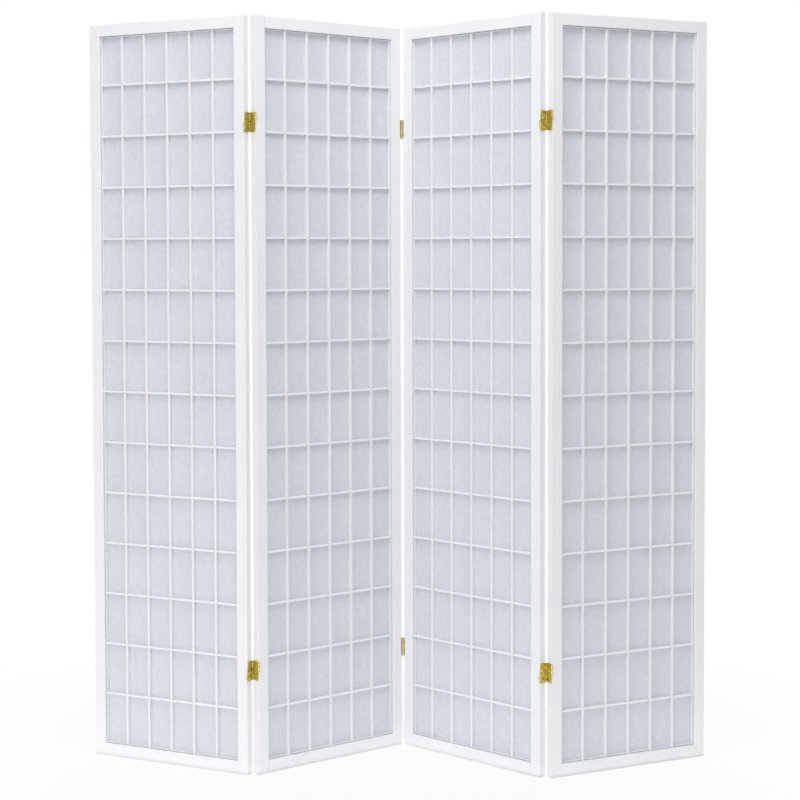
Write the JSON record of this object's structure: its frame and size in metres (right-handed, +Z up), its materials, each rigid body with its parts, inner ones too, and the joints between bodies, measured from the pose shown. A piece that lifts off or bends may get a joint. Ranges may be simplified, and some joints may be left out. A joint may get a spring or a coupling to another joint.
{
  "type": "folding screen",
  "caption": "Free-standing folding room screen of tall lattice panels lined with paper, joined edge to edge by two-way hinges into a zigzag.",
  "frame": {"origin": "centre of the standing zigzag at floor level", "axes": "+Z up the panels; +X along the screen, from panel 1 to panel 4, seen from the lattice side; +Y from the lattice side to the back"},
  "size_m": [1.4914, 0.319, 1.784],
  "materials": {
    "painted_wood": "satin white paint over softwood",
    "painted_bars": "satin white paint over thin softwood bars",
    "paper": "matt fibrous rice paper, translucent",
    "brass": "bright brass plate",
    "brass_screws": "bright brass plate"
  },
  "bodies": {
    "panel_2": {"panel_2_left_stile": "painted_wood", "panel_2_right_stile": "painted_wood", "panel_2_top_rail": "painted_wood", "panel_2_bottom_rail": "painted_wood", "panel_2_upright_bars": "painted_bars", "panel_2_level_bars": "painted_bars", "panel_2_paper": "paper", "panel_2_battens": "painted_wood", "fold_1_right_leaves": "brass", "fold_1_right_pins": "brass", "fold_1_right_screws": "brass_screws", "fold_1_upper_links": "brass", "fold_2_left_leaves": "brass", "fold_2_left_pins": "brass", "fold_2_left_screws": "brass_screws", "fold_2_upper_links": "brass"},
    "panel_1": {"panel_1_left_stile": "painted_wood", "panel_1_right_stile": "painted_wood", "panel_1_top_rail": "painted_wood", "panel_1_bottom_rail": "painted_wood", "panel_1_upright_bars": "painted_bars", "panel_1_level_bars": "painted_bars", "panel_1_paper": "paper", "panel_1_battens": "painted_wood", "fold_1_left_leaves": "brass", "fold_1_left_pins": "brass", "fold_1_left_screws": "brass_screws", "fold_1_lower_links": "brass"},
    "panel_3": {"panel_3_left_stile": "painted_wood", "panel_3_right_stile": "painted_wood", "panel_3_top_rail": "painted_wood", "panel_3_bottom_rail": "painted_wood", "panel_3_upright_bars": "painted_bars", "panel_3_level_bars": "painted_bars", "panel_3_paper": "paper", "panel_3_battens": "painted_wood", "fold_2_right_leaves": "brass", "fold_2_right_pins": "brass", "fold_2_right_screws": "brass_screws", "fold_2_lower_links": "brass", "fold_3_left_leaves": "brass", "fold_3_left_pins": "brass", "fold_3_left_screws": "brass_screws", "fold_3_lower_links": "brass"},
    "panel_4": {"panel_4_left_stile": "painted_wood", "panel_4_right_stile": "painted_wood", "panel_4_top_rail": "painted_wood", "panel_4_bottom_rail": "painted_wood", "panel_4_upright_bars": "painted_bars", "panel_4_level_bars": "painted_bars", "panel_4_paper": "paper", "panel_4_battens": "painted_wood", "fold_3_right_leaves": "brass", "fold_3_right_pins": "brass", "fold_3_right_screws": "brass_screws", "fold_3_upper_links": "brass"}
  },
  "joints": [
    {"name": "fold_1", "type": "hinge", "parent": "panel_2", "child": "panel_1", "pos_m": [-0.34249, -0.1194, 0.892], "axis": [0, 0, -1], "range_deg": [-64, 115]},
    {"name": "fold_2", "type": "hinge", "parent": "panel_2", "child": "panel_3", "pos_m": [0.00965, 0.13849, 0.892], "axis": [0, 0, -1], "range_deg": [-81.5, 97.5]},
    {"name": "fold_3", "type": "hinge", "parent": "panel_3", "child": "panel_4", "pos_m": [0.34933, -0.1356, 0.892], "axis": [0, 0, 1], "range_deg": [-69, 110]}
  ]
}
